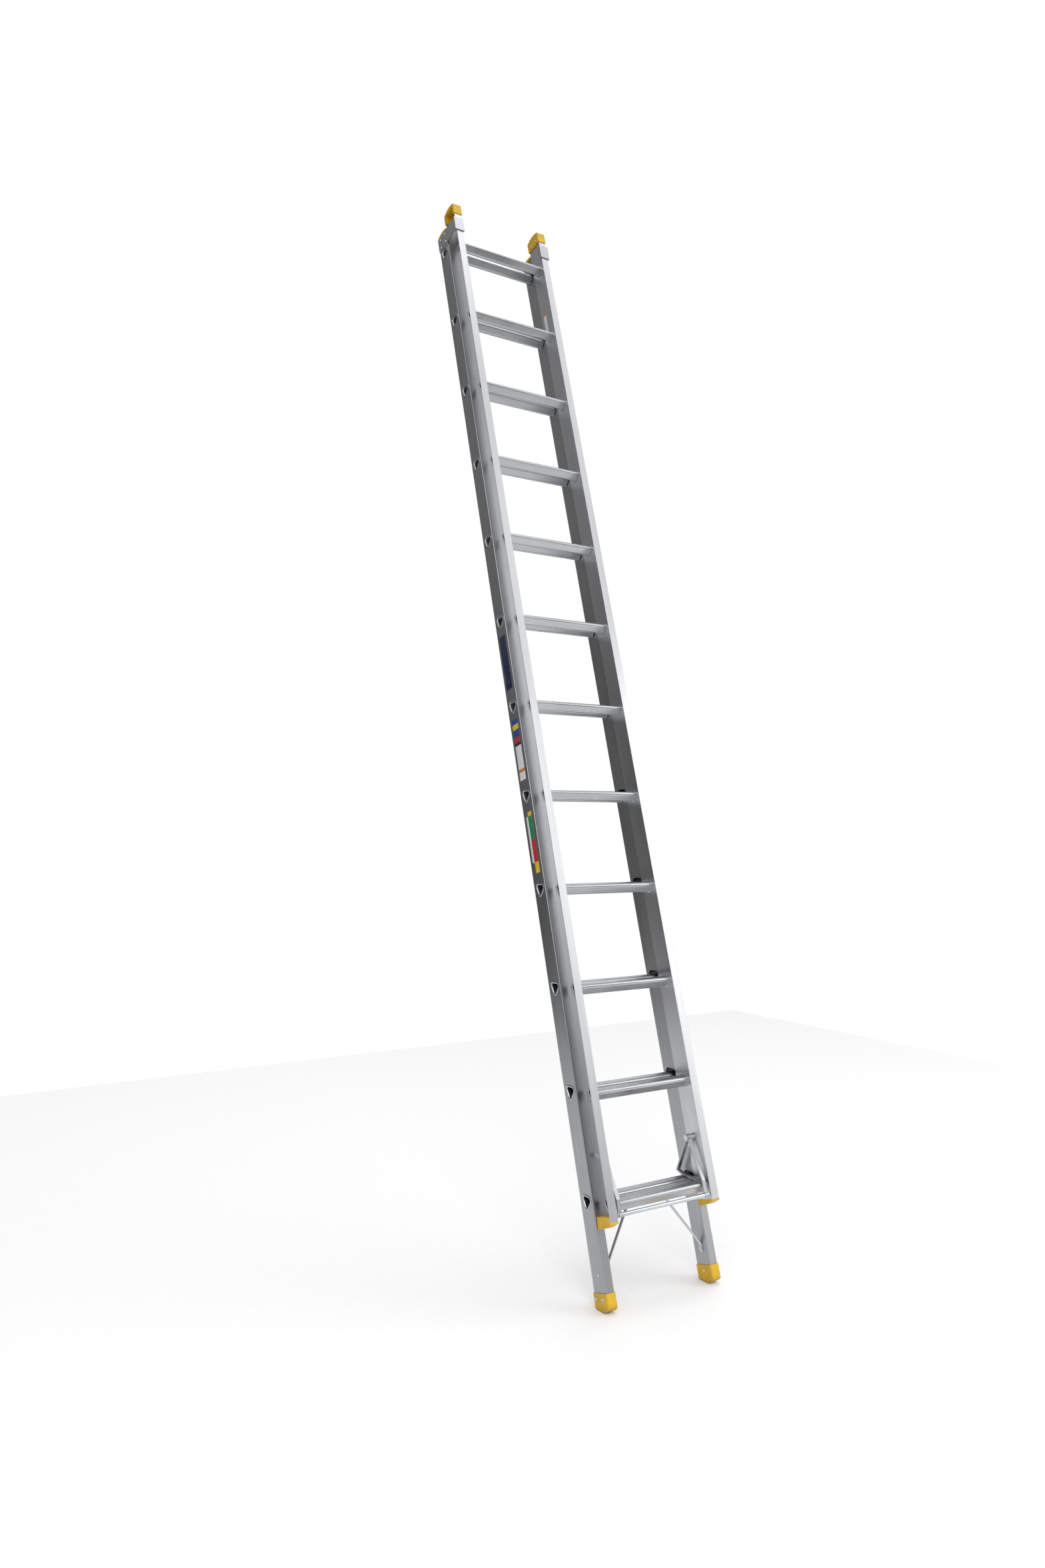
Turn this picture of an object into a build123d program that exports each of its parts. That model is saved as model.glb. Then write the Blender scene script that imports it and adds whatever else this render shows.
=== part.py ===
from build123d import *
import math
import os

# Two-section aluminium extension ladder, closed, leaning back as it is used.
#
# Every piece is drawn in the ladder's own frame: X across the ladder, Y from the
# climber's side (the front of the fly, Y = 0) to the wall, Z up the stiles from the
# lowest point of the soles. place() then leans the ladder back and puts the origin
# on the floor, midway between the soles. All lengths are in millimetres.

# ---- driving dimensions -------------------------------------------------------
lean_deg = 15.8            # angle between the stiles and the vertical in use
rung_count = 12            # rungs in each section
rung_pitch = 305.0
fly_travel_pitches = 9     # the fly runs out this many rungs
clear_width = 344.0        # between the fly webs

# fly stile: a channel that opens outwards
fly_flange = 27.4
fly_depth = 67.6
fly_web = 1.8
fly_flange_thickness = 2.2
fly_corner = 1.2

# base stile: a closed box behind the fly stile
base_outset = 4.0          # the base inner wall stands this far outside the fly web
base_width = 27.4
base_depth = 62.4
base_wall = 1.7
base_corner = 2.2
section_gap = 0.8          # between the fly's rear flange and the base's front face

# rung section: flat tread on top, rounded triangle below, hollow
tread_half = 10.0
section_half_height = 8.0
rung_corner = 8.0
rung_wall = 1.6
lip_width = 5.5            # flared end outside the web
lip_thickness = 1.8
collar_width = 2.5         # swaged collar inside the fly web
collar_thickness = 3.0
swage_gap = 0.05
inner_hole_grow = 6.6      # hole in the base's inner wall, larger than the rung
inner_hole_forward = 2.6   # and its centre is in front of the rung
inner_hole_up = 5.6        # and above it

# heights
base_first_rung = 287.5
rung_step = 2.0            # base treads below the plane of the fly treads
fly_rung_setback = 33.8    # rung centre behind the fly's front face
fly_below_first_rung = 37.5
fly_above_last_rung = 139.0
base_above_last_rung = 84.5
base_stile_start = 14.0    # stile end above the lowest point of the sole

# feet
foot_wall = 3.0
foot_top = 49.0
foot_corner = 5.0
sole_low_point = 28.6      # lowest point of the sole behind the base's front face
toe_rise = 12.0
groove_radius = 3.2
groove_spacing = 9.5
groove_count = 3
groove_inset = 4.0         # first groove in front of the heel
pocket_clearance = 0.1

# guide bracket
bracket_sheet = 3.0
bracket_height = 55.0
bracket_rung_gap = 2.6     # above the flared lip of the top base rung
bracket_front_gap = 0.9
bracket_return = 9.5       # depth of the return lip behind the fly's front face
bracket_back_margin = 1.5  # bare stile behind the bracket
bracket_corner = 1.6
bracket_rivet_spread = 36.0

# caps
cap_wall = 2.2
cap_clearance = 0.15
plug_clearance = 0.05
base_cap_height = 13.0
base_cap_plug = 22.0
base_cap_rise = 6.0
fly_cap_skirt = 19.5       # length of the fly's top cap below the stile end
fly_cap_crown = 21.0       # height of the cap above the stile end at its front
fly_cap_rise = 10.0        # extra height in the middle of the arch
fly_cap_front_block = 11.0
fly_cap_rear_block = 14.0
fly_cap_bar = 7.0          # bar over the open side of the cap, at its ends
fly_cap_plate = 4.0        # plates on the two sides of the web
scallop_radius = 4.0
scallop_count = 5
bottom_cap_front = 5.0     # thickness under the front flange
bottom_cap_middle = 14.5   # thickness where the toe ends
bottom_cap_rear = 17.5     # thickness under the rear flange
bottom_cap_toe = 27.0      # length of the rising toe
bottom_cap_plug = 15.0

# latch: a triangular frame cut as a slice from an extruded section
pivot_y = 45.0
pivot_above_first_rung = 141.0
pivot_radius = 5.0
pivot_clearance = 0.05
spacer_radius = 9.0        # shoulder of the pivot bolt between the web and the latch
latch_width = 12.0         # width of the slice along the rungs
latch_inset = 8.0          # from the fly web to the slice
latch_wall = 5.2
latch_eye = 11.0
latch_rest_gap = 0.3       # latch foot above the fly treads
latch_swing_gap = 0.4      # foot's swing past the front of the base tread
latch_side_gap = 0.3       # between the slice and the bolt's head and shoulder
latch_front_y = 6.0
latch_rear_y = 121.0
latch_kink_rise = 9.0      # bend of the front bar above the tread line
tie_rod_radius = 6.0
tie_rod_neck = 4.0
tie_rod_y = 8.5
tie_rod_drop = 23.0        # below the centre of the fly's first rung
tie_rod_boss = 7.5
tie_rod_end = 0.4          # thread showing beyond its nut
thin_nut_thickness = 3.6
pivot_head_thickness = 3.0
pivot_head_across = 16.0
pivot_nut_thickness = 7.0
pivot_bolt_end = 10.0      # bolt end outside the fly web

# braces under the lowest base rung
brace_y_offset = -4.6      # from the centre of the base rung
brace_width = 12.0
brace_thickness = 3.0
brace_rung_x = 60.0        # where the brace meets the rung
brace_bolt_height = 96.0
brace_top_flat = 22.0
brace_foot_flat = 24.0
brace_bend = 26.0
brace_nut_thickness = 4.5

# fasteners
rivet_shank = 2.4
rivet_head = 4.4
rivet_dome = 1.6
bolt_shank = 3.0
bolt_head = 5.6
bolt_dome = 2.6
fastener_gap = 0.05

# ---- places worked out from the driving dimensions ----------------------------
fly_inner_x = clear_width / 2
fly_outer_x = fly_inner_x + fly_web
fly_tip_x = fly_inner_x + fly_flange
base_inner_x = fly_inner_x + base_outset
base_outer_x = base_inner_x + base_width
base_front_y = fly_depth + section_gap
base_back_y = base_front_y + base_depth
base_mid_x = (base_inner_x + base_outer_x) / 2
base_mid_y = (base_front_y + base_back_y) / 2
tread_slope = math.tan(math.radians(lean_deg))

fly_rung_y = fly_rung_setback
base_rung_y = base_mid_y
fly_first_rung = base_first_rung + rung_step - (base_rung_y - fly_rung_y) * tread_slope
last_rise = (rung_count - 1) * rung_pitch
section_top = (tread_half * math.sin(math.radians(lean_deg))
               + section_half_height * math.cos(math.radians(lean_deg)) + rung_corner)

base_stile_end = base_first_rung + last_rise + base_above_last_rung
fly_stile_start = fly_first_rung - fly_below_first_rung
fly_stile_end = fly_first_rung + last_rise + fly_above_last_rung

bracket_bottom = base_first_rung + last_rise + section_top + lip_width + bracket_rung_gap
bracket_top = bracket_bottom + bracket_height
bracket_outer_x = base_outer_x + bracket_sheet

sole_low_y = base_front_y + sole_low_point
heel_y = base_back_y + foot_wall
sole_mid_y = (sole_low_y + heel_y) / 2
sole_mid_z = (sole_mid_y - sole_low_y) * tread_slope

pivot_z = fly_first_rung + pivot_above_first_rung
slice_outer_x = fly_inner_x - latch_inset
slice_inner_x = slice_outer_x - latch_width
tie_rod_z = fly_first_rung - tie_rod_drop


def place(shape):
    """Lean the ladder back and set the origin on the floor between the soles."""
    return Rot(X=-lean_deg) * Pos(0, -sole_mid_y, -sole_mid_z) * shape


def place_point(x, y, z):
    """The same move for one point, in metres."""
    lean = math.radians(lean_deg)
    dy = y - sole_mid_y
    dz = z - sole_mid_z
    moved_y = dy * math.cos(lean) + dz * math.sin(lean)
    moved_z = dz * math.cos(lean) - dy * math.sin(lean)
    return [round(x / 1000, 6), round(moved_y / 1000, 6), round(moved_z / 1000, 6)]


def left_of(shape):
    """The left-hand piece of a pair, from the right-hand one."""
    return mirror(shape, about=Plane.YZ)


def block(x0, x1, y0, y1, z0, z1):
    """A box between two corners."""
    box = Box(x1 - x0, y1 - y0, z1 - z0)
    return Pos((x0 + x1) / 2, (y0 + y1) / 2, (z0 + z1) / 2) * box


def rod_along_x(x0, x1, y, z, radius):
    """A cylinder along X."""
    return Pos((x0 + x1) / 2, y, z) * Rot(Y=90) * Cylinder(radius, abs(x1 - x0))


def plate_in_yz(face, x0, x1):
    """A flat outline, drawn with Y across and Z up, given a thickness along X."""
    return extrude(Plane.YZ.offset(x0) * face, amount=x1 - x0)


# ---- rungs ----------------------------------------------------------------------
def rung_outline(grow=0.0):
    """Rounded triangle with its flat tread level when the ladder leans."""
    triangle = Polygon(
        (-tread_half, section_half_height),
        (0, -section_half_height),
        (tread_half, section_half_height),
        align=None,
    )
    section = offset(triangle, amount=rung_corner + grow, kind=Kind.ARC)
    return Rot(Z=lean_deg) * section


def rung_prism(x0, x1, y, z, grow=0.0):
    """The rung outline carried along X."""
    return plate_in_yz(Pos(y, z) * rung_outline(grow), x0, x1)


def hollow_rung(web_x, y, z, with_collar):
    """A rung tube through both webs, its ends flared outside them."""
    end_x = web_x + lip_thickness
    rung = rung_prism(-end_x, end_x, y, z)
    for side in (-1, 1):
        lip_faces = sorted((side * web_x, side * end_x))
        rung += rung_prism(lip_faces[0], lip_faces[1], y, z, lip_width)
        if with_collar:
            inner_face = fly_inner_x
            collar_faces = sorted((side * (inner_face - collar_thickness), side * inner_face))
            rung += rung_prism(collar_faces[0], collar_faces[1], y, z, collar_width)
    return rung - rung_prism(-end_x - 1, end_x + 1, y, z, -rung_wall)


def rung_heights(first):
    """Rung centres from the lowest rung up."""
    return [first + number * rung_pitch for number in range(rung_count)]


# ---- fasteners --------------------------------------------------------------------
def domed(x_face, y, z, direction, head, dome, shank, grip):
    """A round-headed fastener: direction is +1 when the head looks along +X."""
    inner_x = x_face - direction * grip
    body = rod_along_x(min(x_face, inner_x), max(x_face, inner_x), y, z, shank)
    cap = Pos(0, 0, dome / 2) * Cylinder(head, dome)
    cap = fillet(cap.edges().group_by(Axis.Z)[-1], dome * 0.8)
    return body + Pos(x_face, y, z) * Rot(Y=90 * direction) * cap


def rivet(x_face, y, z, direction, grip):
    return domed(x_face, y, z, direction, rivet_head, rivet_dome, rivet_shank, grip)


def hexagon_nut(x0, x1, y, z, across_flats, bore):
    """A hexagon along X, with a bore when bore is not zero."""
    outline = RegularPolygon(radius=across_flats / 2, side_count=6, major_radius=False)
    nut = plate_in_yz(Pos(y, z) * outline, x0, x1)
    if bore > 0:
        nut -= rod_along_x(x0 - 1, x1 + 1, y, z, bore)
    return nut


foot_bolt_places = [(base_front_y + 17.0, 34.0), (base_back_y - 11.0, 34.0)]
foot_screw_place = (base_mid_y, 33.0)
bracket_rivet_y = [base_front_y + 10.0, base_front_y + 10.0 + bracket_rivet_spread]
bracket_rivet_z = [bracket_bottom + 10.0, bracket_top - 10.0]
bracket_rivet_places = [(y, z) for y in bracket_rivet_y for z in bracket_rivet_z]
fly_cap_rivet_places = [(16.0, fly_stile_end - 6.0), (50.0, fly_stile_end - 6.0)]
bottom_cap_rivet_place = (fly_rung_y, fly_stile_start + 6.0)
brace_y = base_rung_y + brace_y_offset


# ---- base section -------------------------------------------------------------------
def base_stile():
    """Right-hand box stile with its rung holes and fastener holes."""
    outer = Pos(base_mid_x, base_mid_y) * RectangleRounded(base_width, base_depth, base_corner)
    inner = Pos(base_mid_x, base_mid_y) * RectangleRounded(
        base_width - 2 * base_wall, base_depth - 2 * base_wall, base_corner - base_wall + 0.4)
    stile = extrude(Pos(0, 0, base_stile_start) * (outer - inner), amount=base_stile_end - base_stile_start)
    for z in rung_heights(base_first_rung):
        stile -= rung_prism(base_mid_x, base_outer_x + 1, base_rung_y, z, swage_gap)
        stile -= rung_prism(base_inner_x - 1, base_mid_x, base_rung_y - inner_hole_forward,
                            z + inner_hole_up, inner_hole_grow)
    for y, z in foot_bolt_places + bracket_rivet_places:
        stile -= rod_along_x(base_mid_x, base_outer_x + 1, y, z, rivet_shank + fastener_gap)
    y, z = foot_screw_place
    stile -= rod_along_x(base_inner_x - 1, base_mid_x, y, z, rivet_shank + fastener_gap)
    stile -= rod_along_x(base_inner_x - 1, base_outer_x + 1, brace_y, brace_bolt_height,
                         bolt_shank + fastener_gap)
    return stile


def base_foot():
    """Moulded foot that wraps the stile: level serrated sole, rounded rising toe."""
    toe_y = base_front_y - foot_wall
    heel_z = (heel_y - sole_low_y) * tread_slope
    with BuildSketch() as profile:
        with BuildLine():
            Line((toe_y, foot_top), (heel_y, foot_top))
            Line((heel_y, foot_top), (heel_y, heel_z))
            Line((heel_y, heel_z), (sole_low_y, 0))
            TangentArc((sole_low_y, 0), (toe_y, toe_rise), tangent=(-1, -0.12))
            Line((toe_y, toe_rise), (toe_y, foot_top))
        make_face()
    x0 = base_inner_x - foot_wall
    x1 = base_outer_x + foot_wall
    foot = plate_in_yz(profile.sketch, x0, x1)
    foot = fillet(foot.edges().filter_by(Axis.Z), foot_corner)
    for number in range(groove_count):
        y = heel_y - groove_inset - number * groove_spacing
        z = (y - sole_low_y) * tread_slope
        foot -= rod_along_x(x0 - 1, x1 + 1, y, z, groove_radius)
    pocket = Pos(base_mid_x, base_mid_y) * RectangleRounded(
        base_width + 2 * pocket_clearance, base_depth + 2 * pocket_clearance, base_corner)
    foot -= extrude(Pos(0, 0, base_stile_start) * pocket, amount=foot_top)
    for y, z in foot_bolt_places:
        foot -= rod_along_x(base_mid_x, x1 + 1, y, z, rivet_shank + fastener_gap)
    y, z = foot_screw_place
    foot -= rod_along_x(x0 - 1, base_mid_x, y, z, rivet_shank + fastener_gap)
    return foot


def foot_fasteners():
    """Two round-headed bolts outside and one screw inside each foot."""
    grip = foot_wall + pocket_clearance + base_wall
    pieces = [foot_bolt(y, z, grip) for y, z in foot_bolt_places]
    y, z = foot_screw_place
    pieces.append(rivet(base_inner_x - foot_wall, y, z, -1, grip))
    return pieces


def foot_bolt(y, z, grip):
    """A wide-headed bolt on the outer face of the foot."""
    return domed(base_outer_x + foot_wall, y, z, 1, bolt_head, bolt_dome, rivet_shank, grip)


def base_top_cap():
    """Arched lid on the end of the box stile, with a plug inside it."""
    x0 = base_inner_x - cap_wall
    x1 = base_outer_x
    y0 = base_front_y
    y1 = base_back_y + cap_wall
    with BuildSketch() as profile:
        with BuildLine():
            low = base_stile_end
            side = base_stile_end + base_cap_height - base_cap_rise
            Polyline((y0, side), (y0, low), (y1, low), (y1, side))
            ThreePointArc((y0, side), ((y0 + y1) / 2, low + base_cap_height), (y1, side))
        make_face()
    cap = plate_in_yz(profile.sketch, x0, x1)
    cap = fillet(cap.edges().filter_by(Axis.X).group_by(Axis.Z)[-1], 1.5)
    inset = base_wall + plug_clearance
    plug = block(base_inner_x + inset, base_outer_x - inset, base_front_y + inset,
                 base_back_y - inset, base_stile_end - base_cap_plug, base_stile_end)
    plug = fillet(plug.edges().filter_by(Axis.Z), base_corner)
    for y, z in bracket_rivet_places:
        plug -= rod_along_x(base_inner_x, base_outer_x, y, z, rivet_shank + 3)
    return cap + plug


def guide_bracket():
    """Folded sheet, riveted to the base stile, that wraps the fly's front flange."""
    y_front = -bracket_front_gap - bracket_sheet
    y_back = base_back_y - bracket_back_margin
    return_x1 = fly_inner_x - bracket_front_gap
    return_x0 = return_x1 - bracket_sheet
    outline = Polyline(
        (base_outer_x + bracket_sheet / 2, y_back),
        (base_outer_x + bracket_sheet / 2, y_front + bracket_sheet / 2),
        ((return_x0 + return_x1) / 2, y_front + bracket_sheet / 2),
        ((return_x0 + return_x1) / 2, bracket_return),
    )
    strip = make_face(offset(outline, amount=bracket_sheet / 2, kind=Kind.INTERSECTION,
                             side=Side.BOTH).edges())
    bracket = extrude(Pos(0, 0, bracket_bottom) * strip, amount=bracket_height)
    corners = bracket.edges().filter_by(Axis.Z).filter_by(
        lambda edge: edge.center().Y < y_front + 0.01)
    bracket = fillet(corners, bracket_corner)
    for y, z in bracket_rivet_places:
        bracket -= rod_along_x(base_mid_x, bracket_outer_x + 1, y, z, rivet_shank + fastener_gap)
    return bracket


def brace():
    """Pressed strip from the underside of the lowest rung to the stile's inner wall."""
    rung_bottom = base_first_rung - section_half_height * math.cos(math.radians(lean_deg)) - rung_corner
    top_z = rung_bottom - brace_thickness / 2
    wall_x = base_inner_x - brace_thickness / 2
    path = FilletPolyline(
        (brace_rung_x - brace_top_flat, 0, top_z),
        (brace_rung_x, 0, top_z),
        (wall_x, 0, brace_bolt_height + brace_foot_flat / 2),
        (wall_x, 0, brace_bolt_height - brace_foot_flat / 2),
        radius=brace_bend / 2,
    )
    start = Plane(origin=(brace_rung_x - brace_top_flat, 0, top_z), x_dir=(0, 1, 0), z_dir=(1, 0, 0))
    section = start * RectangleRounded(brace_width, brace_thickness, brace_thickness * 0.3)
    strip = Pos(0, brace_y, 0) * sweep(section, path=path)
    strip -= rod_along_x(wall_x - brace_thickness, base_inner_x + 1, brace_y, brace_bolt_height,
                         bolt_shank + fastener_gap)
    rivet_x = brace_rung_x - brace_top_flat / 2
    strip -= Pos(rivet_x, brace_y, top_z) * Cylinder(rivet_shank + fastener_gap, brace_thickness * 2)
    return strip


def brace_fasteners():
    """Bolt through the stile for each brace, and the rivet under the rung."""
    inner_face = base_inner_x - brace_thickness
    through = domed(base_outer_x, brace_y, brace_bolt_height, 1, rivet_head, rivet_dome, bolt_shank,
                    base_outer_x - inner_face)
    nut = hexagon_nut(inner_face - brace_nut_thickness, inner_face, brace_y, brace_bolt_height, 10.0, 0)
    rung_bottom = base_first_rung - section_half_height * math.cos(math.radians(lean_deg)) - rung_corner
    rivet_x = brace_rung_x - brace_top_flat / 2
    low_z = rung_bottom - brace_thickness
    pin = Pos(rivet_x, brace_y, low_z + brace_thickness / 2) * Cylinder(rivet_shank, brace_thickness)
    head = Pos(rivet_x, brace_y, low_z - rivet_dome / 2) * Cylinder(rivet_head, rivet_dome)
    return [through + nut, pin + head]


# ---- fly section --------------------------------------------------------------------
def fly_stile():
    """Right-hand channel stile, open outwards, with its rung and bolt holes."""
    mid_x = (fly_inner_x + fly_tip_x) / 2
    outer = Pos(mid_x, fly_depth / 2) * Rectangle(fly_flange, fly_depth)
    outer = fillet(outer.vertices(), fly_corner)
    hollow_depth = fly_depth - 2 * fly_flange_thickness
    hollow = Pos(fly_outer_x + fly_flange / 2, fly_depth / 2) * Rectangle(fly_flange, hollow_depth)
    channel = extrude(Pos(0, 0, fly_stile_start) * (outer - hollow), amount=fly_stile_end - fly_stile_start)
    for z in rung_heights(fly_first_rung):
        channel -= rung_prism(fly_inner_x - 1, fly_outer_x + 1, fly_rung_y, z, swage_gap)
    channel -= rod_along_x(fly_inner_x - 1, fly_outer_x + 1, pivot_y, pivot_z,
                           pivot_radius + pivot_clearance)
    for y, z in fly_cap_rivet_places + [bottom_cap_rivet_place]:
        channel -= rod_along_x(fly_inner_x - 1, fly_outer_x + 1, y, z, rivet_shank + fastener_gap)
    return channel


def fly_top_cap():
    """Moulded cap over the end of the fly stile: arched, scalloped, open outwards."""
    y0 = -cap_wall
    y1 = fly_depth + cap_wall
    x0 = fly_inner_x - fly_cap_plate
    x1 = fly_tip_x + cap_wall
    low = fly_stile_end - fly_cap_skirt
    side = fly_stile_end + fly_cap_crown
    crown = side + fly_cap_rise
    mid_y = (y0 + y1) / 2
    with BuildSketch() as profile:
        with BuildLine():
            Polyline((y0, side), (y0, low), (y1, low), (y1, side))
            ThreePointArc((y0, side), (mid_y, crown), (y1, side))
        make_face()
    cap = plate_in_yz(profile.sketch, x0, x1)
    chord = (y1 - y0) / 2
    arch_radius = (chord * chord + fly_cap_rise * fly_cap_rise) / (2 * fly_cap_rise)
    step = (y1 - y0) / (scallop_count + 1)
    for number in range(scallop_count):
        y = y0 + step * (number + 1)
        z = crown - arch_radius + math.sqrt(arch_radius ** 2 - (y - mid_y) ** 2)
        cap -= rod_along_x(x0 - 1, x1 + 1, y, z + scallop_radius * 0.5, scallop_radius)
    cap -= block(fly_outer_x + fly_cap_plate, x1 + 1, y0 + fly_cap_front_block,
                 y1 - fly_cap_rear_block, low - 1, side - fly_cap_bar)
    mid_x = (fly_inner_x + fly_tip_x) / 2
    grown = 2 * cap_clearance
    outer = Pos(mid_x, fly_depth / 2) * Rectangle(fly_flange + grown, fly_depth + grown)
    hollow_depth = fly_depth - 2 * fly_flange_thickness - grown
    hollow = Pos(fly_outer_x + cap_clearance + fly_flange / 2, fly_depth / 2) * Rectangle(
        fly_flange, hollow_depth)
    cap -= extrude(Pos(0, 0, low - 1) * (outer - hollow), amount=fly_stile_end + 1 - low)
    for y, z in fly_cap_rivet_places:
        cap -= rod_along_x(x0 - 1, fly_outer_x + fly_cap_plate + 1, y, z, rivet_shank + fastener_gap)
    return cap


def fly_bottom_cap():
    """Moulded wedge under the end of the fly stile, with a plug in its channel."""
    tip = fly_stile_start
    with BuildSketch() as profile:
        with BuildLine():
            Polyline(
                (0, tip),
                (0, tip - bottom_cap_front),
                (bottom_cap_toe, tip - bottom_cap_middle),
                (fly_depth, tip - bottom_cap_rear),
                (fly_depth, tip),
                (0, tip),
            )
        make_face()
    wedge = plate_in_yz(profile.sketch, fly_inner_x, fly_tip_x)
    wedge = fillet(wedge.edges().filter_by(Axis.X).group_by(Axis.Z)[0], 1.5)
    gap = fly_flange_thickness + plug_clearance
    plug = block(fly_outer_x + plug_clearance, fly_tip_x, gap, fly_depth - gap, tip, tip + bottom_cap_plug)
    y, z = bottom_cap_rivet_place
    cap = wedge + plug
    return cap - rod_along_x(fly_outer_x - 1, fly_outer_x + 9, y, z, rivet_shank + fastener_gap)


def bottom_cap_rivet():
    """The rivet through the web into the bottom cap's plug."""
    y, z = bottom_cap_rivet_place
    return rivet(fly_inner_x, y, z, -1, fly_web + 8.0)


def top_cap_rivets():
    """Two rivets through the cap's plates and the web between them."""
    grip = 2 * fly_cap_plate + fly_web
    face = fly_inner_x - fly_cap_plate
    return [rivet(face, y, z, -1, grip) for y, z in fly_cap_rivet_places]


def pivot_bolt():
    """Shouldered hexagon bolt through the fly web: the latch turns on it."""
    head_face = slice_inner_x - latch_side_gap
    shank = rod_along_x(head_face, fly_outer_x + pivot_bolt_end, pivot_y, pivot_z, pivot_radius)
    shoulder = rod_along_x(slice_outer_x + latch_side_gap, fly_inner_x, pivot_y, pivot_z, spacer_radius)
    head = hexagon_nut(head_face - pivot_head_thickness, head_face, pivot_y, pivot_z,
                       pivot_head_across, 0)
    return shank + shoulder + head


def pivot_nut():
    """Nut against the outer face of the fly web."""
    return hexagon_nut(fly_outer_x, fly_outer_x + pivot_nut_thickness, pivot_y, pivot_z,
                       pivot_head_across, pivot_radius + pivot_clearance)


# ---- latch ---------------------------------------------------------------------------
def tread_line(y):
    """Height of the level plane through the treads of both sections, at rest."""
    centre = fly_first_rung + (y - fly_rung_y) * tread_slope
    rise = (section_half_height + rung_corner) / math.cos(math.radians(lean_deg))
    return centre + rise


def thick_line(points, width):
    """A line of even width with rounded ends."""
    path = Polyline(*points)
    return make_face(offset(path, amount=width / 2, kind=Kind.ARC, side=Side.BOTH).edges())


def latch_foot():
    """Outline of the foot over both treads. Its underside runs along the fly treads,
    then follows an arc about the pivot that passes the front of the base tread, so
    that the latch can be swung forwards while the fly is down."""
    lean = math.radians(lean_deg)
    corner_y = base_rung_y - tread_half * math.cos(lean) - section_half_height * math.sin(lean)
    corner_z = base_first_rung - tread_half * math.sin(lean) + section_half_height * math.cos(lean)
    corner_reach = math.hypot(corner_y - pivot_y, pivot_z - corner_z)
    reach = corner_reach - rung_corner - latch_swing_gap

    def swung(y, radius):
        """The point of a circle about the pivot, below it, on the line from the pivot
        through the outer arc at this y."""
        angle = math.asin((y - pivot_y) / reach)
        return (pivot_y + radius * math.sin(angle), pivot_z - radius * math.cos(angle))

    # where the line along the treads meets the arc: a quadratic in the distance
    # behind the pivot
    drop = tread_line(pivot_y) + latch_rest_gap - pivot_z
    square = 1 + tread_slope ** 2
    root = math.sqrt((tread_slope * drop) ** 2 - square * (drop ** 2 - reach ** 2))
    meet_y = pivot_y + (root - tread_slope * drop) / square
    middle_y = (meet_y + latch_rear_y) / 2
    start_y = latch_front_y + latch_wall / 2
    start_z = tread_line(start_y) + latch_rest_gap
    inner = reach - latch_wall
    with BuildSketch() as foot:
        with BuildLine():
            Line((start_y, start_z), swung(meet_y, reach))
            ThreePointArc(swung(meet_y, reach), swung(middle_y, reach), swung(latch_rear_y, reach))
            Line(swung(latch_rear_y, reach), swung(latch_rear_y, inner))
            ThreePointArc(swung(latch_rear_y, inner), swung(middle_y, inner), swung(meet_y, inner))
            Line(swung(meet_y, inner), (start_y, start_z + latch_wall))
            Line((start_y, start_z + latch_wall), (start_y, start_z))
        make_face()
    return foot.sketch, swung(latch_rear_y, reach - latch_wall / 2)


def latch_frame():
    """Triangular latch frame: an eye on the pivot, a foot over both treads, a strap
    behind, and a front bar whose leg carries the tie rod."""
    foot, rear_corner = latch_foot()
    bar_y = latch_front_y + latch_wall / 2
    kink = (bar_y, tread_line(latch_front_y) + latch_kink_rise)
    outline = thick_line([(pivot_y - latch_eye / 2, pivot_z), kink, (bar_y, tie_rod_z)], latch_wall)
    outline += foot
    outline += thick_line([(pivot_y, pivot_z), rear_corner], latch_wall)
    outline += Pos(pivot_y, pivot_z) * Circle(latch_eye)
    outline += Pos(tie_rod_y, tie_rod_z) * Circle(tie_rod_boss)
    frame = plate_in_yz(outline, slice_inner_x, slice_outer_x)
    frame -= rod_along_x(slice_inner_x - 1, slice_outer_x + 1, pivot_y, pivot_z,
                         pivot_radius + pivot_clearance)
    return frame - rod_along_x(slice_inner_x - 1, slice_outer_x + 1, tie_rod_y, tie_rod_z,
                               tie_rod_neck + fastener_gap)


def tie_rod():
    """Round bar between the latch frames, necked down through them."""
    rod = rod_along_x(-slice_inner_x, slice_inner_x, tie_rod_y, tie_rod_z, tie_rod_radius)
    neck_end = slice_outer_x + thin_nut_thickness + tie_rod_end
    return rod + rod_along_x(-neck_end, neck_end, tie_rod_y, tie_rod_z, tie_rod_neck)


def tie_rod_nut():
    """Thin nut on the outer side of each latch frame."""
    return hexagon_nut(slice_outer_x, slice_outer_x + thin_nut_thickness, tie_rod_y, tie_rod_z,
                       12.0, tie_rod_neck + fastener_gap)


# ---- write one file for each node ----------------------------------------------------
def write(node, *solids):
    """Place the solids and write them as one node."""
    placed = [place(solid) for solid in solids]
    shape = placed[0] if len(placed) == 1 else Compound(children=placed)
    export_step(shape, f"parts/{node}.step")


def write_pair(name, right_piece):
    """Write the left-hand and right-hand nodes of a symmetrical pair."""
    write(f"{name}_left", left_of(right_piece))
    write(f"{name}_right", right_piece)


def both_sides(pieces):
    """The pieces of the right-hand side and their mirror images."""
    return list(pieces) + [left_of(piece) for piece in pieces]


os.makedirs("parts", exist_ok=True)

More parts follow.
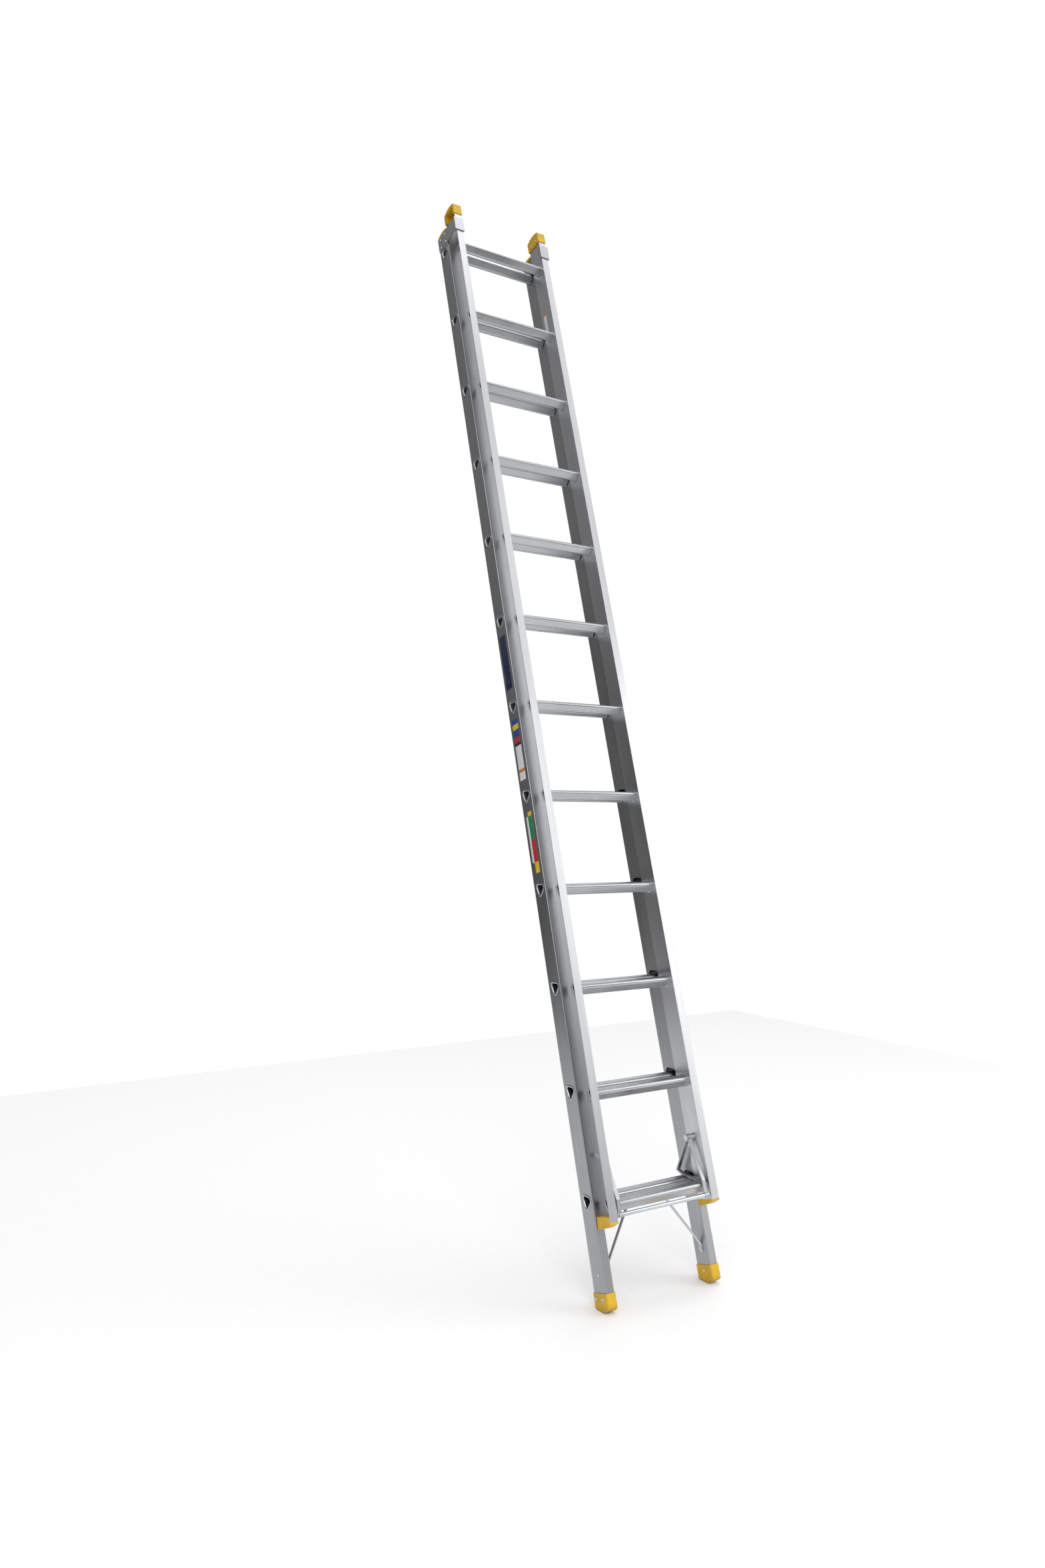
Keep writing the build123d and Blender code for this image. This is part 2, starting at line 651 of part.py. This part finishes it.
write_pair("base_stile", base_stile())
first_base_rung = hollow_rung(base_outer_x, base_rung_y, base_first_rung, False)
first_fly_rung = hollow_rung(fly_outer_x, fly_rung_y, fly_first_rung, True)
for number in range(rung_count):
    write(f"base_rung_{number + 1:02d}", Pos(0, 0, number * rung_pitch) * first_base_rung)
    write(f"fly_rung_{number + 1:02d}", Pos(0, 0, number * rung_pitch) * first_fly_rung)
write_pair("base_foot", base_foot())
write("foot_bolts", *both_sides(foot_fasteners()))
write_pair("base_top_cap", base_top_cap())
write_pair("guide_bracket", guide_bracket())
bracket_grip = bracket_sheet + base_wall
write("guide_bracket_rivets",
      *both_sides([rivet(bracket_outer_x, y, z, 1, bracket_grip) for y, z in bracket_rivet_places]))
write_pair("brace", brace())
write("brace_bolts", *both_sides(brace_fasteners()))

write_pair("fly_stile", fly_stile())
write_pair("fly_top_cap", fly_top_cap())
write("fly_top_cap_rivets", *both_sides(top_cap_rivets()))
write_pair("fly_bottom_cap", fly_bottom_cap())
write("fly_bottom_cap_rivets", *both_sides([bottom_cap_rivet()]))
write("latch_pivot_bolts", *both_sides([pivot_bolt()]))
write("latch_pivot_nuts", *both_sides([pivot_nut()]))

write_pair("latch_frame", latch_frame())
write("tie_rod", tie_rod())
write("tie_rod_nuts", *both_sides([tie_rod_nut()]))

lean = math.radians(lean_deg)
print("fly slide axis", [0.0, round(math.sin(lean), 6), round(math.cos(lean), 6)])
print("fly travel, m", fly_travel_pitches * rung_pitch / 1000)
print("latch pivot, m", place_point(0, pivot_y, pivot_z))
print("sole right, m", place_point(base_mid_x, sole_mid_y, sole_mid_z))
print("wall rest right, m", place_point(base_mid_x, base_back_y + cap_wall, base_stile_end + 3.5))
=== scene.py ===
import bmesh
import bpy
import math
import numpy as np
from mathutils import Matrix, Vector


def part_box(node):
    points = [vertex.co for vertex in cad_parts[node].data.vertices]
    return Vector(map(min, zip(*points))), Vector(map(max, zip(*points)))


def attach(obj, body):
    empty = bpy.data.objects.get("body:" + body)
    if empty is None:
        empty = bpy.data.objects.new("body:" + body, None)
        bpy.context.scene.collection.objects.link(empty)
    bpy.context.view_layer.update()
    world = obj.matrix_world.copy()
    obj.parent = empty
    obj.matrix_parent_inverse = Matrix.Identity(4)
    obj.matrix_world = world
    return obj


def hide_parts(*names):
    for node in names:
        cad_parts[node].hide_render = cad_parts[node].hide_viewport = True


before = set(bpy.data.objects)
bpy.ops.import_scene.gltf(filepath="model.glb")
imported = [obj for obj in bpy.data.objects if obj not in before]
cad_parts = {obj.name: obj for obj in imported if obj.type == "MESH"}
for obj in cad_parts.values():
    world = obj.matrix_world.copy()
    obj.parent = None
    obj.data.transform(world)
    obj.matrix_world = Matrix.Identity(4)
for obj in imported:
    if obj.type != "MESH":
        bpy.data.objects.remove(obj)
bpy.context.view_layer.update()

# ---- base stiles ---------------------------------------------------------------------
# Two closed boxes of extruded aluminium that stand on the feet and carry everything
# else. The metal has the fine lines of the die along its length, a thin dull oxide
# and a few rubbed places.
lean = math.radians(15.8)            # the stiles lean this far back from the vertical


class Shader:
    """Builds the nodes of a material or a world. What varies is held as a Value, and the
    usual operators add maths nodes for it."""

    def __init__(self, owner):
        owner.use_nodes = True
        self.owner = owner
        self.tree = owner.node_tree

    def node(self, kind, settings=None, **inputs):
        """Any node: its type, its settings and its inputs. An input is given by its name,
        with spaces as _, or by its number after an i, as in i0."""
        made = self.tree.nodes.new(kind)
        for key, value in (settings or {}).items():
            setattr(made, key, value)
        for key, value in inputs.items():
            numbered = key[0] == "i" and key[1:].isdigit()
            socket = made.inputs[int(key[1:]) if numbered else key.replace("_", " ")]
            self.feed(socket, value)
        return made

    def feed(self, socket, value):
        """Link a Value to an input, or set a number, a vector or a colour there."""
        if isinstance(value, Value):
            self.tree.links.new(value.socket, socket)
        else:
            socket.default_value = value

    def wrap(self, socket):
        """A socket as a Value, which the operators work on."""
        return Value(self, socket)

    def local(self):
        """Object coordinates turned so that Z runs along the stiles."""
        place = self.wrap(self.node("ShaderNodeTexCoord").outputs["Object"])
        turned = self.node("ShaderNodeMapping", Rotation=(lean, 0.0, 0.0), Vector=place)
        return self.wrap(turned.outputs["Vector"])

    def noise(self, vector, scale, detail=3.0, stretch=(1, 1, 1), roughness=0.5):
        """Smooth noise from 0 to 1, its pattern stretched along the axes."""
        stretched = self.node("ShaderNodeVectorMath", {"operation": "MULTIPLY"}, i0=vector, i1=stretch)
        made = self.node("ShaderNodeTexNoise", Vector=self.wrap(stretched.outputs[0]), Scale=scale,
                         Detail=detail, Roughness=roughness)
        return self.wrap(made.outputs["Fac"])

    def ramp(self, value, low, high, to_low=0.0, to_high=1.0):
        """Map a range to another, held at its ends."""
        made = self.node("ShaderNodeMapRange", {"interpolation_type": "SMOOTHSTEP"},
                         i0=value, i1=low, i2=high, i3=to_low, i4=to_high)
        return self.wrap(made.outputs[0])

    def mix(self, factor, a, b):
        """Between two colours."""
        made = self.node("ShaderNodeMix", {"data_type": "RGBA"}, i0=factor, i6=a, i7=b)
        return self.wrap(made.outputs[2])

    def parts(self, vector):
        """The three numbers of a vector."""
        made = self.node("ShaderNodeSeparateXYZ", i0=vector)
        return [self.wrap(out) for out in made.outputs]

    def bump(self, height, strength, distance):
        """A normal that follows a height from 0 to 1; distance is its size in metres."""
        made = self.node("ShaderNodeBump", Strength=strength, Distance=distance, Height=height)
        return self.wrap(made.outputs[0])

    def surface(self, **inputs):
        """Set the inputs of the material's surface, and give the material back."""
        principled = self.tree.nodes["Principled BSDF"]
        for key, value in inputs.items():
            self.feed(principled.inputs[key.replace("_", " ")], value)
        return self.owner


class Value:
    """A number that varies over a surface."""

    def __init__(self, shader, socket):
        self.shader = shader
        self.socket = socket

    def maths(self, operation, a, b):
        """One maths node on two numbers or values."""
        made = self.shader.node("ShaderNodeMath", {"operation": operation}, i0=a, i1=b)
        return Value(self.shader, made.outputs[0])

    def __add__(self, other):
        return self.maths("ADD", self, other)

    def __sub__(self, other):
        return self.maths("SUBTRACT", self, other)

    def __rsub__(self, other):
        return self.maths("SUBTRACT", other, self)

    def __mul__(self, other):
        return self.maths("MULTIPLY", self, other)

    def __truediv__(self, other):
        return self.maths("DIVIDE", self, other)

    def __rtruediv__(self, other):
        return self.maths("DIVIDE", other, self)

    __radd__ = __add__
    __rmul__ = __mul__


def brushed(name, dark, light, rough, lines=(900, 900, 3)):
    """Extruded, rolled or plated metal: die lines, cloudy oxide and rubbed places. The
    lines run the way in which their scale is smallest."""
    shader = Shader(bpy.data.materials.new(name))
    place = shader.local()
    die = shader.noise(place, 1.0, 2.0, lines)
    cloud = shader.noise(place, 4.0, 3.0, (1, 1, 0.2))
    rub = shader.noise(place, 38.0, 3.0, (1, 1, 0.25))
    grain = shader.noise(place, 700.0, 2.0)
    tone = shader.ramp(cloud, 0.3, 0.7) * 0.55 + shader.ramp(die, 0.3, 0.7) * 0.45
    colour = shader.mix(tone, dark, light)
    worn = shader.ramp(rub, 0.60, 0.72)
    return shader.surface(
        Base_Color=shader.mix(worn * 0.15, colour, light),
        Metallic=1.0,
        Roughness=shader.ramp(cloud, 0.3, 0.7, rough - 0.05, rough + 0.07) + grain * 0.05 - worn * 0.05,
        Normal=shader.bump(die + grain * 0.4, 0.25, 0.00006),
    )


def dress(nodes, material):
    """Give CAD nodes a material."""
    for node in nodes:
        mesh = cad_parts[node].data
        mesh.materials.clear()
        mesh.materials.append(material)


def sides(*names):
    """The left-hand and right-hand nodes of each name."""
    return [f"{name}_{side}" for name in names for side in ("left", "right")]


base_metal = brushed("base stile aluminium", (0.33, 0.335, 0.345, 1), (0.47, 0.475, 0.485, 1), 0.34)
dress(sides("base_stile"), base_metal)

# ---- base rungs ----------------------------------------------------------------------
# Hollow extruded rungs with a flat ribbed tread over a rounded triangle. Each end goes
# through both walls of the stile and is flared outside them into a bright raised lip.
TREAD_HALF, SECTION_HALF, CORNER, WALL = 0.010, 0.008, 0.008, 0.0016
LIP_GROW, LIP_THICKNESS = 0.0055, 0.0018     # of the CAD's lip, past the plain section
RIB_PITCH, RIB_DEPTH = 0.0024, 0.00035       # of the tread's fine ribs


def new_piece(name, vertices, faces, material):
    """A mesh object at the origin, its faces pointing outwards and smooth up to 35
    degrees between them."""
    mesh = bpy.data.meshes.new(name)
    mesh.from_pydata([tuple(v) for v in vertices], [], faces)
    mesh.update()
    piece = bpy.data.objects.new(name, mesh)
    bpy.context.scene.collection.objects.link(piece)
    shell = bmesh.new()
    shell.from_mesh(mesh)
    bmesh.ops.remove_doubles(shell, verts=shell.verts, dist=1e-7)
    bmesh.ops.recalc_face_normals(shell, faces=shell.faces)
    shell.to_mesh(mesh)
    shell.free()
    mesh.shade_smooth()
    mesh.set_sharp_from_angle(angle=math.radians(35))
    mesh.materials.append(material)
    return piece


def rung_outline(grow=0.0, ribs=0.0):
    """The section of a rung as points (across, up), with its flat tread on top.

    It is every point at a distance of r = corner + grow from a triangle: an arc about
    each corner, then a straight side. On the tread the surface dips by
    ribs * (1 + cos(2 pi across / RIB_PITCH)) / 2."""
    corners = np.array([(TREAD_HALF, SECTION_HALF), (-TREAD_HALF, SECTION_HALF), (0.0, -SECTION_HALF)])
    radius = CORNER + grow
    path = []
    for number in range(3):
        here, following = corners[number], corners[(number + 1) % 3]
        before, after = here - corners[number - 1], following - here
        start = math.atan2(before[1], before[0]) - math.pi / 2
        turn = (math.atan2(after[1], after[0]) - math.pi / 2 - start) % (2 * math.pi)
        for angle in start + turn * np.linspace(0, 1, 15):
            path.append(here + radius * np.array([math.cos(angle), math.sin(angle)]))
        outwards = np.array([math.cos(start + turn), math.sin(start + turn)])
        for share in np.linspace(0, 1, 60 if number == 0 else 14)[1:-1]:
            path.append(here + (following - here) * share + radius * outwards)
    path = np.array(path)
    flat = (path[:, 1] > SECTION_HALF + radius - 1e-5) & (abs(path[:, 0]) < TREAD_HALF)
    dip = ribs * (1 + np.cos(2 * math.pi * path[:, 0] / RIB_PITCH)) / 2
    path[:, 1] -= np.where(flat, dip, 0)
    return path


def rung_piece(node, body, collar=None):
    """A hollow rung in the place of a CAD node, as rings of the section along X.

    Each half is a list of (x, grow): the flared lip, the collar inside the web if there
    is one, and the plain tube. The bore comes back through the inside, and its mouth is
    rounded into the lip, so the last ring joins the first."""
    low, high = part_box(node)
    end, lip = high.x, high.x - LIP_THICKNESS
    centre_y = (low.y + high.y) / 2
    centre_z = high.z - LIP_GROW - CORNER - SECTION_HALF
    outside = [(end, 0.0038), (end - 0.0002, 0.0048), (end - 0.0007, 0.0054), (lip, 0.0054), (lip, 0.0)]
    if collar:
        outside += [(collar, 0.0), (collar, 0.0020), (collar - 0.0008, 0.0024), (collar - 0.0020, 0.0021),
                    (collar - 0.0029, 0.0008), (collar - 0.0030, 0.0)]
    bore = [(end - 0.005, 0.0), (end - 0.002, 0.0006), (end - 0.0006, 0.0018), (end, 0.0030)]
    rings = [(x, rung_outline(grow, RIB_DEPTH if grow == 0 else 0)) for x, grow in outside + [(0.0, 0.0)]]
    rings += [(-x, ring) for x, ring in reversed(rings[:-1])]
    inner = [(x, rung_outline(grow - WALL)) for x, grow in bore]
    rings += [(-x, ring) for x, ring in reversed(inner)] + inner
    grid = [np.column_stack([np.full(len(ring), x), ring[:, 0] + centre_y, ring[:, 1] + centre_z])
            for x, ring in rings]
    count = len(grid[0])
    faces = []
    for row in range(len(grid)):
        this, following = row * count, (row + 1) % len(grid) * count
        for column in range(count):
            right = (column + 1) % count
            faces.append((this + column, following + column, following + right, this + right))
    piece = new_piece(f"ribbed_{node}", np.concatenate(grid), faces, rung_metal)
    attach(piece, body)
    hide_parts(node)


rung_metal = brushed("rung aluminium", (0.40, 0.41, 0.425, 1), (0.56, 0.57, 0.585, 1), 0.26, (3, 900, 900))
for number in range(1, 13):
    rung_piece(f"base_rung_{number:02d}", "base")

# ---- fly rungs -----------------------------------------------------------------------
# The same section, swaged into the fly's webs: a raised collar inside each web and the
# flared lip outside.
inner_web = 0.172                    # inner face of the fly's web, either side of the middle
for number in range(1, 13):
    rung_piece(f"fly_rung_{number:02d}", "fly", inner_web)

# ---- fly stiles ----------------------------------------------------------------------
# Two extruded aluminium channels that open outwards, a little brighter than the base.
# They slide along the front of the base stiles, inside the guide brackets.
fly_metal = brushed("fly stile aluminium", (0.50, 0.505, 0.52, 1), (0.66, 0.665, 0.68, 1), 0.30)
dress(sides("fly_stile"), fly_metal)

# ---- guide brackets and latch frames ---------------------------------------------------
# Bright mill-finish metal: the brackets are folded from sheet, and the latch frames are
# sawn slices of an extruded section.
sheet_metal = brushed("bright sheet aluminium", (0.40, 0.405, 0.415, 1), (0.55, 0.555, 0.565, 1), 0.30,
                      (500, 500, 12))
dress(sides("guide_bracket"), sheet_metal)
latch_metal = brushed("sawn latch aluminium", (0.40, 0.41, 0.42, 1), (0.56, 0.57, 0.58, 1), 0.36,
                      (300, 60, 60))
dress(sides("latch_frame"), latch_metal)

# ---- fasteners, braces and the tie rod ---------------------------------------------------
# The braces, the tie rod, the bolts and the nuts are bright zinc-plated steel with a
# faint bluish tint. The rivets are aluminium.
zinc = brushed("bright zinc plate", (0.46, 0.49, 0.52, 1), (0.68, 0.71, 0.73, 1), 0.22, (12, 500, 500))
dress(sides("brace") + ["tie_rod", "tie_rod_nuts", "latch_pivot_bolts", "latch_pivot_nuts",
                        "brace_bolts", "foot_bolts"], zinc)
rivet_metal = brushed("rivet aluminium", (0.60, 0.61, 0.62, 1), (0.82, 0.83, 0.84, 1), 0.26, (90, 90, 90))
dress(["guide_bracket_rivets", "fly_top_cap_rivets", "fly_bottom_cap_rivets"], rivet_metal)

# ---- moulded feet and caps ---------------------------------------------------------------
# Orange-yellow moulded plastic with a fine spark-eroded texture, flow streaks, scuffs
# on the soles and grime that gathers low on the feet.
plastic = Shader(bpy.data.materials.new("moulded orange-yellow plastic"))
place = plastic.local()
height = plastic.parts(place)[2]
flow = plastic.noise(place, 22.0, 4.0)
scuff = plastic.noise(place, 160.0, 4.0, (1, 1, 1), 0.7)
texture = plastic.noise(place, 1400.0, 2.0)
moulded = plastic.mix(plastic.ramp(flow, 0.3, 0.7), (0.60, 0.345, 0.006, 1), (0.71, 0.425, 0.010, 1))
scuffed = plastic.mix(plastic.ramp(scuff, 0.58, 0.72) * 0.35, moulded, (0.76, 0.56, 0.16, 1))
near_floor = plastic.ramp(height, -0.01, 0.022, 0.75, 0.0)
dirty = plastic.mix(near_floor * plastic.ramp(scuff, 0.35, 0.65), scuffed, (0.16, 0.11, 0.05, 1))
plastic.surface(
    Base_Color=dirty,
    Roughness=plastic.ramp(flow, 0.3, 0.7, 0.40, 0.52) + scuff * 0.08,
    Specular_IOR_Level=0.5,
    Normal=plastic.bump(texture * 0.6 + scuff * 0.4, 0.3, 0.00012),
)
dress(sides("base_foot", "base_top_cap", "fly_top_cap", "fly_bottom_cap"), plastic.owner)

# ---- printed labels ------------------------------------------------------------------------
# Thin vinyl labels stuck on the outer wall of the left-hand base stile, and a small one
# on the inner face of the right-hand fly web. They are plain blocks of colour, listed
# from the top down, with no wording.
def along_stile(x, y, z):
    """A point given across, behind the fly's front and up the stiles, in the row's frame.
    The frame's origin is midway between the soles, at (sole_y, sole_z) on the stiles."""
    sole_y, sole_z = 0.1154, 0.00521
    dy, dz = y - sole_y, z - sole_z
    back = dy * math.cos(lean) + dz * math.sin(lean)
    up = dz * math.cos(lean) - dy * math.sin(lean)
    return (x, back, up)


def label(name, x, outwards, y_span, blocks, body):
    """A thin plate with sloping edges for each block: (top height, bottom height, colour)."""
    thickness = 0.00012
    edge = 0.0004
    y0, y1 = y_span
    face = x + outwards * thickness
    for number, (top, bottom, colour) in enumerate(blocks):
        ring = [(x, y0, bottom), (x, y1, bottom), (x, y1, top), (x, y0, top)]
        inner = [(face, y0 + edge, bottom + edge), (face, y1 - edge, bottom + edge),
                 (face, y1 - edge, top - edge), (face, y0 + edge, top - edge)]
        points = [along_stile(*point) for point in ring + inner]
        faces = [(4, 5, 6, 7), (3, 2, 1, 0)]
        faces += [(k, (k + 1) % 4, 4 + (k + 1) % 4, 4 + k) for k in range(4)]
        vinyl = Shader(bpy.data.materials.new(f"{name} vinyl {number}"))
        place = vinyl.local()
        wear = vinyl.noise(place, 140.0, 4.0)
        pale = tuple(0.75 * part + 0.2 for part in colour[:3]) + (1,)
        vinyl.surface(Base_Color=vinyl.mix(vinyl.ramp(wear, 0.55, 0.75) * 0.5, colour, pale),
                      Roughness=vinyl.ramp(wear, 0.3, 0.7, 0.32, 0.5),
                      Normal=vinyl.bump(wear, 0.1, 0.00005))
        plate = new_piece(f"{name}_block_{number}", points, faces, vinyl.owner)
        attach(plate, body)


NAVY, BLUE, GREEN = (0.012, 0.016, 0.06, 1), (0.02, 0.06, 0.28, 1), (0.01, 0.22, 0.09, 1)
RED, ORANGE, YELLOW = (0.50, 0.02, 0.03, 1), (0.62, 0.20, 0.03, 1), (0.72, 0.52, 0.03, 1)
BLACK, WHITE = (0.02, 0.02, 0.02, 1), (0.72, 0.73, 0.74, 1)
outer_wall = -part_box("base_stile_right")[1].x
label("upper_label", outer_wall, -1, (0.0815, 0.1195), [(2.066, 1.876, NAVY)], "base")
label("middle_label", outer_wall, -1, (0.083, 0.118), [
    (1.770, 1.752, BLUE), (1.752, 1.734, YELLOW), (1.734, 1.708, BLUE), (1.708, 1.690, RED),
    (1.690, 1.679, BLACK), (1.679, 1.600, WHITE), (1.600, 1.589, ORANGE), (1.589, 1.562, WHITE)], "base")
label("lower_label", outer_wall, -1, (0.083, 0.106), [
    (1.455, 1.441, YELLOW), (1.441, 1.366, GREEN), (1.366, 1.291, RED), (1.291, 1.256, YELLOW)], "base")
label("lower_label_strip", outer_wall, -1, (0.1065, 0.117), [(1.441, 1.291, WHITE)], "base")
label("fly_label", inner_web, -1, (0.0375, 0.0535), [(3.440, 3.430, ORANGE), (3.430, 3.357, WHITE)], "fly")

# ---- floor and studio --------------------------------------------------------------------
# A pale floor, three large soft lights, and a surround that is plain white to the camera
# but, for light and reflections, darker behind the left-hand side and towards the ground.
floor_mesh = bpy.data.meshes.new("studio_floor")
half_side, floor_z = 3.6, -0.0015    # the floor lies just under the soles
corners = [(-1, -1), (1, -1), (1, 1), (-1, 1)]
floor_mesh.from_pydata([(half_side * x, half_side * y, floor_z) for x, y in corners], [], [(0, 1, 2, 3)])
floor = bpy.data.objects.new("studio_floor", floor_mesh)
bpy.context.scene.collection.objects.link(floor)
paper = Shader(bpy.data.materials.new("pale studio paper"))
fibre = paper.noise(paper.local(), 60.0, 4.0)
paper.surface(Base_Color=paper.mix(fibre, (0.90, 0.90, 0.90, 1), (0.94, 0.94, 0.94, 1)), Roughness=0.9)
floor_mesh.materials.append(paper.owner)

world = bpy.data.worlds.new("studio")
bpy.context.scene.world = world
studio = Shader(world)
direction = studio.wrap(studio.node("ShaderNodeTexCoord").outputs["Generated"])
towards_left_rear = studio.node("ShaderNodeVectorMath", {"operation": "DOT_PRODUCT"},
                                i0=direction, i1=(-0.60, 0.80, 0.0))
shade = studio.ramp(studio.wrap(towards_left_rear.outputs["Value"]), 0.10, 0.85, 1.0, 0.26)
ground = studio.ramp(studio.parts(direction)[2], -0.15, 0.40, 0.22, 1.05)
seen_by_camera = studio.wrap(studio.node("ShaderNodeLightPath").outputs["Is Camera Ray"])
strength = studio.node("ShaderNodeMix", i0=seen_by_camera, i2=shade * ground, i3=1.0)
sky = world.node_tree.nodes["Background"]
sky.inputs["Color"].default_value = (1.0, 1.0, 1.0, 1)
studio.feed(sky.inputs["Strength"], studio.wrap(strength.outputs[0]))
bpy.context.scene.view_settings.view_transform = "Standard"


def soft_light(name, place, aim, size, power):
    """A rectangular area light at a place, turned to its aim."""
    light = bpy.data.lights.new(name, "AREA")
    light.shape = "RECTANGLE"
    light.size, light.size_y = size
    light.energy = power
    lamp = bpy.data.objects.new(name, light)
    turn = (Vector(aim) - Vector(place)).to_track_quat("-Z", "Y").to_matrix().to_4x4()
    lamp.matrix_world = Matrix.Translation(place) @ turn
    bpy.context.scene.collection.objects.link(lamp)


soft_light("key", (-2.5, -4.5, 5.0), (0.0, 0.4, 1.6), (3.0, 4.0), 90.0)
soft_light("fill", (4.5, -3.0, 3.0), (0.0, 0.4, 1.6), (3.0, 4.0), 60.0)
soft_light("top", (0.5, 1.5, 6.5), (0.0, 0.5, 1.6), (4.0, 4.0), 60.0)

# ---- camera --------------------------------------------------------------------------------
# About 1.3 m above the floor, in front of the ladder and to its left, looking slightly
# up. The lens is shifted a little, so the view is not centred on its axis.
lens = bpy.data.cameras.new("camera")
lens.sensor_fit = "HORIZONTAL"
lens.sensor_width = 36.0
lens.lens = 37.2
lens.shift_x = -0.0103
lens.shift_y = -0.0169
lens.clip_start = 0.05
lens.clip_end = 200.0
camera = bpy.data.objects.new("camera", lens)
camera.location = (-2.0119, -2.5370, 1.3401)
camera.rotation_euler = (math.radians(93.406), math.radians(0.009), math.radians(-32.067))
bpy.context.scene.collection.objects.link(camera)
bpy.context.scene.camera = camera
